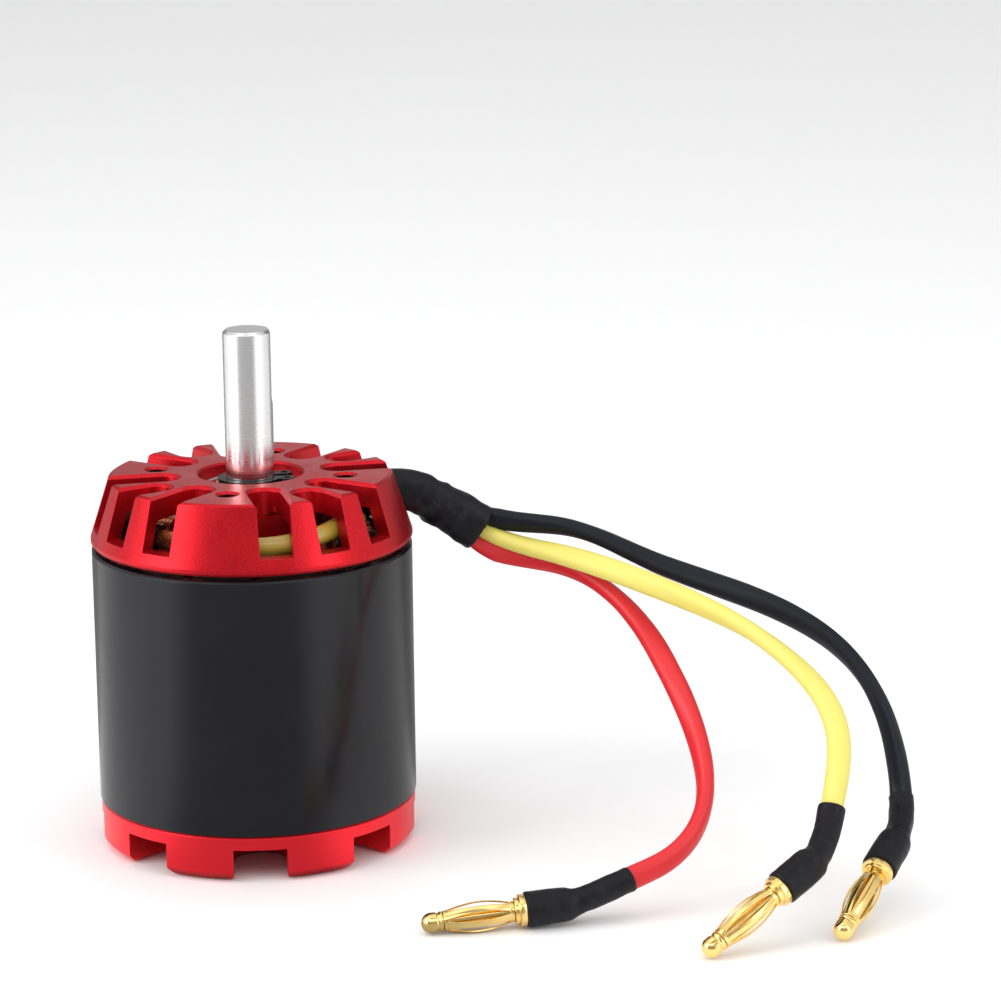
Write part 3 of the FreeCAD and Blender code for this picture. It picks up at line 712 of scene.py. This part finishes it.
def plug_boot(colour, seed):
    """Heat-shrunk cover: tight on the cup, a shoulder, then necked down on to the lead."""
    start, along = plug_axis(colour)
    finish = PLUGS[colour][3]
    spacing = 0.25
    knots, _ = lead_points(colour)
    lead, _ = spline(knots, spacing)
    near = min(range(len(lead)), key=lambda i: (lead[i] - finish).length)
    cup = min(range(len(lead)), key=lambda i: (lead[i] - (start + along * CUP_END)).length)
    neck = lead[near:cup + 1][::-1]
    over_cup = int((CUP_END - PLUG_BOOT_START) / spacing)
    path = [start + along * (PLUG_BOOT_START + spacing * i) for i in range(over_cup)] + neck
    shoulder = CUP_END - PLUG_BOOT_START + 0.6
    tail = (len(path) - 1) * spacing

    def section(i, angle):
        s = spacing * i
        step = 1 / (1 + math.exp(-(s - shoulder) / 0.42))
        r = PLUG_BOOT_R * (1 - step) + PLUG_BOOT_THIN_R * step
        lip = 0.10 * math.exp(-s / 0.5) - 0.14 * math.exp(-s / 0.15)
        flare = 0.10 * math.exp(-(tail - s) / 0.5) - 0.14 * math.exp(-(tail - s) / 0.15)
        ring = Vector((math.cos(angle) * 2.4, math.sin(angle) * 2.4, s))
        fold = 0.09 * rumple(ring, 2.6, seed) + 0.05 * rumple(ring, 1.1, seed + 4)
        crease = 0.10 * math.exp(-((s - shoulder - 0.9) / 1.3) ** 2) * math.sin(3 * angle + seed + s * 0.6)
        flat = 0.07 * math.cos(2 * angle + seed) * step
        return r + lip + flare + fold + crease + flat

    piece = new_piece(colour + "_plug_shrink", *sweep(path, section, 56), "black_heatshrink")
    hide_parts(colour + "_plug_boot")


def lead_boot():
    """Large heat-shrink over the three leads, squeezed in the slot and creased where it bends."""
    centres = [polar(r, a, z) for r, a, z, _, _, _ in BOOT_STATIONS]
    path, t = spline(centres, 0.2)
    total = len(path)
    widths = [s[3] for s in BOOT_STATIONS]
    heights = [s[4] * 0.93 for s in BOOT_STATIONS]
    length = t[-1]

    def section(i, angle):
        s = length * i / (total - 1)
        w = float(np.interp(s, t, widths))
        h = float(np.interp(s, t, heights))
        c, d = math.cos(angle), math.sin(angle)
        r = 1.0 / ((abs(c) / w) ** 2.3 + (abs(d) / h) ** 2.3) ** (1 / 2.3)
        free = grow(s - 5.0, 4.0)
        ring = Vector((w * c, h * d, s))
        fold = 0.34 * free * rumple(ring, 3.4, 2.0) + 0.12 * free * rumple(ring, 1.3, 5.0)
        bend = 0.30 * free * math.exp(-((s - 10.5) / 1.6) ** 2) * math.sin(2.2 * angle + 0.9 * s)
        valley = -0.55 * free * math.exp(-((angle - 3.6 + 0.16 * (s - 9)) / 0.28) ** 2)
        valley *= math.exp(-((s - 11) / 4) ** 2)
        edge = -0.15 * math.exp(-(length - s) / 0.2)
        return r + fold + bend + valley + edge

    piece = new_piece("lead_shrink", *sweep(path, section, 96), "black_heatshrink")
    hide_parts("lead_boot")


def inner_shrink():
    """Heat-shrink inside the housing: over the yellow lead, and over the star joint."""
    over_lead, _ = spline([polar(18.9, -27, -6.2), polar(18.6, -12, -6.0), polar(17.9, 2, -6.3),
                           polar(17.2, 12, -6.3)])
    over_star = [polar(20.2, -176 + 2.2 * i, -6.9 - 0.02 * i) for i in range(24)]

    def lead_section(i, angle):
        return 2.0 + 0.16 * rumple((i * 0.3, 2 * math.cos(angle), 2 * math.sin(angle)), 1.6)

    def star_section(i, angle):
        return 2.05 + 0.14 * rumple((i * 0.4, 2 * math.cos(angle), 2 * math.sin(angle)), 1.5, 3.0)

    new_piece("inner_shrink", *sweep(over_lead, lead_section, 36), "black_heatshrink")
    new_piece("star_shrink", *sweep(over_star, star_section, 36), "black_heatshrink")


# ---- windings ----------------------------------------------------------------------------------------
def star_strands():
    """Enamelled strands gathered into a loose, twisted bundle over the coils."""
    strand_r = 0.33
    bundle_at = Vector((19.0, 0.0, -8.0))
    rings = [0] + [1] * 6 + [2] * 12
    parts = []
    for k, ring in enumerate(rings):
        offset = 2 * strand_r * ring
        phase = 2 * math.pi * (k if ring == 1 else k * 0.5) / 6
        centre = []
        for i in range(70):
            angle = -166 + 72 * i / 69.0
            turn = phase + 0.17 * i
            reach = offset + 0.10 * rumple((i * 0.35, k * 3.1, 0), 1.5, k)
            centre.append(polar(bundle_at.x + reach * math.cos(turn), angle,
                                bundle_at.z + reach * math.sin(turn)))
        parts.append(sweep(centre, lambda i, a: strand_r, 8))
    piece = new_piece("star_strands", *merge(parts), "copper_wire")
    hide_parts("star_bundle")


# Coil of one tooth: ends, inner side, half width there, and the teeth that each phase winds.
COIL_TOP = -9.8
COIL_BOTTOM = -50.7
COIL_INNER_R = 15.6
COIL_HALF_WIDTH = 3.9
PHASE_TEETH = {"a": (0, 1, 6, 7), "b": (2, 3, 8, 9), "c": (4, 5, 10, 11)}


def coil_turns():
    """Turns of thick enamelled wire laid over each coil, standing just proud of it."""
    wire_r = 0.42
    sunk = 0.30
    corner = 1.9
    high = COIL_TOP - sunk
    low = COIL_BOTTOM + sunk
    for phase, teeth in PHASE_TEETH.items():
        parts = []
        for tooth in teeth:
            turn = Matrix.Rotation(math.radians(30 * tooth), 4, "Z")
            for k in range(5):
                r = COIL_INNER_R + 0.35 + k * 0.83
                half = COIL_HALF_WIDTH + (r - COIL_INNER_R) / 4.0 - sunk
                side = half - corner
                bends = (
                    (side, high - corner), (-side, high - corner),
                    (-side, low + corner), (side, low + corner),
                )
                loop = []
                for q, (y, z) in enumerate(bends):
                    for i in range(7):
                        a = math.pi / 2 * (q + i / 6.0)
                        wobble = 0.05 * rumple((tooth * 7.0, k * 2.0, q + i * 0.2), 0.7, 1.0)
                        loop.append(Vector((r + wobble, y + corner * math.cos(a), z + corner * math.sin(a))))
                parts.append(moved(ring_bar(loop, wire_r, 8), turn))
        new_piece("phase_" + phase + "_turns", *merge(parts), "copper_wire")


def ring_bar(loop, radius, sides):
    """Closed loop of round wire through points."""
    count = len(loop)
    vertices = []
    faces = []
    for i, point in enumerate(loop):
        tangent = (loop[(i + 1) % count] - loop[i - 1]).normalized()
        side = Vector((1, 0, 0))
        up = tangent.cross(side).normalized()
        for j in range(sides):
            a = 2 * math.pi * j / sides
            vertices.append(point + side * (radius * math.cos(a)) + up * (radius * math.sin(a)))
    for i in range(count):
        n = (i + 1) % count
        for j in range(sides):
            k = (j + 1) % sides
            faces.append((i * sides + j, i * sides + k, n * sides + k, n * sides + j))
    return vertices, faces


for colour, phase in (("red", 0.3), ("yellow", 1.9), ("black", 1.1)):
    lead_sleeve(colour, phase)
    bullet_plug(colour)
    plug_boot(colour, phase * 3.0)
lead_boot()
inner_shrink()
star_strands()
coil_turns()


# ---- studio ------------------------------------------------------------------------------------------
def studio_floor():
    mesh = bpy.data.meshes.new("floor")
    corners = [(FLOOR_REACH * x, FLOOR_REACH * y, FLOOR_Z) for x, y in ((-1, -1), (1, -1), (1, 1), (-1, 1))]
    mesh.from_pydata(corners, [], [(0, 1, 2, 3)])
    floor = bpy.data.objects.new("floor", mesh)
    bpy.context.scene.collection.objects.link(floor)
    mesh.materials.append(pale_floor())


def camera():
    """Camera of the main view."""
    data = bpy.data.cameras.new("camera")
    data.lens = CAMERA_LENS
    data.sensor_width = SENSOR_WIDTH
    data.clip_start = 0.01
    data.clip_end = 50.0
    cam = bpy.data.objects.new("camera", data)
    bpy.context.scene.collection.objects.link(cam)
    aim = CAMERA_LOOK.to_track_quat("-Z", "Y").to_matrix().to_4x4()
    cam.matrix_world = Matrix.Translation(CAMERA_AT) @ aim @ Matrix.Rotation(CAMERA_ROLL, 4, "Z")
    bpy.context.scene.camera = cam


def world():
    """Even white studio, banded for glossy parts in the same way as the floor."""
    w = bpy.data.worlds.new("studio")
    bpy.context.scene.world = w
    w.use_nodes = True
    tree = w.node_tree
    background = tree.nodes["Background"]
    place = tree.nodes.new("ShaderNodeTexCoord").outputs["Generated"]
    plain = tree.nodes.new("ShaderNodeRGB").outputs["Color"]
    plain.default_value = (WORLD_LEVEL, WORLD_LEVEL, WORLD_LEVEL, 1.0)
    tree.links.new(for_glossy_rays(tree, plain, studio_bands(tree, place)), background.inputs["Color"])


def soft_light(name, place, target, width, height, power):
    data = bpy.data.lights.new(name, "AREA")
    data.shape = "RECTANGLE"
    data.size = width
    data.size_y = height
    data.energy = power
    lamp = bpy.data.objects.new(name, data)
    bpy.context.scene.collection.objects.link(lamp)
    place = Vector(place)
    lamp.location = place
    lamp.rotation_euler = (Vector(target) - place).to_track_quat("-Z", "Y").to_euler()


studio_floor()
camera()
world()
soft_light("left_box", (-0.75, -0.55, 0.45), (0.0, 0.0, -0.03), 0.6, 0.8, 5.5)
soft_light("right_box", (0.85, -0.35, 0.40), (0.0, 0.0, -0.03), 0.3, 0.8, 1.6)
soft_light("top_box", (0.0, 0.1, 0.95), (0.02, 0.0, 0.0), 0.9, 0.9, 1.6)
soft_light("front_box", (0.1, -0.85, 0.85), (0.03, 0.0, -0.03), 1.0, 0.5, 2.6)
bpy.context.scene.view_settings.view_transform = "Standard"
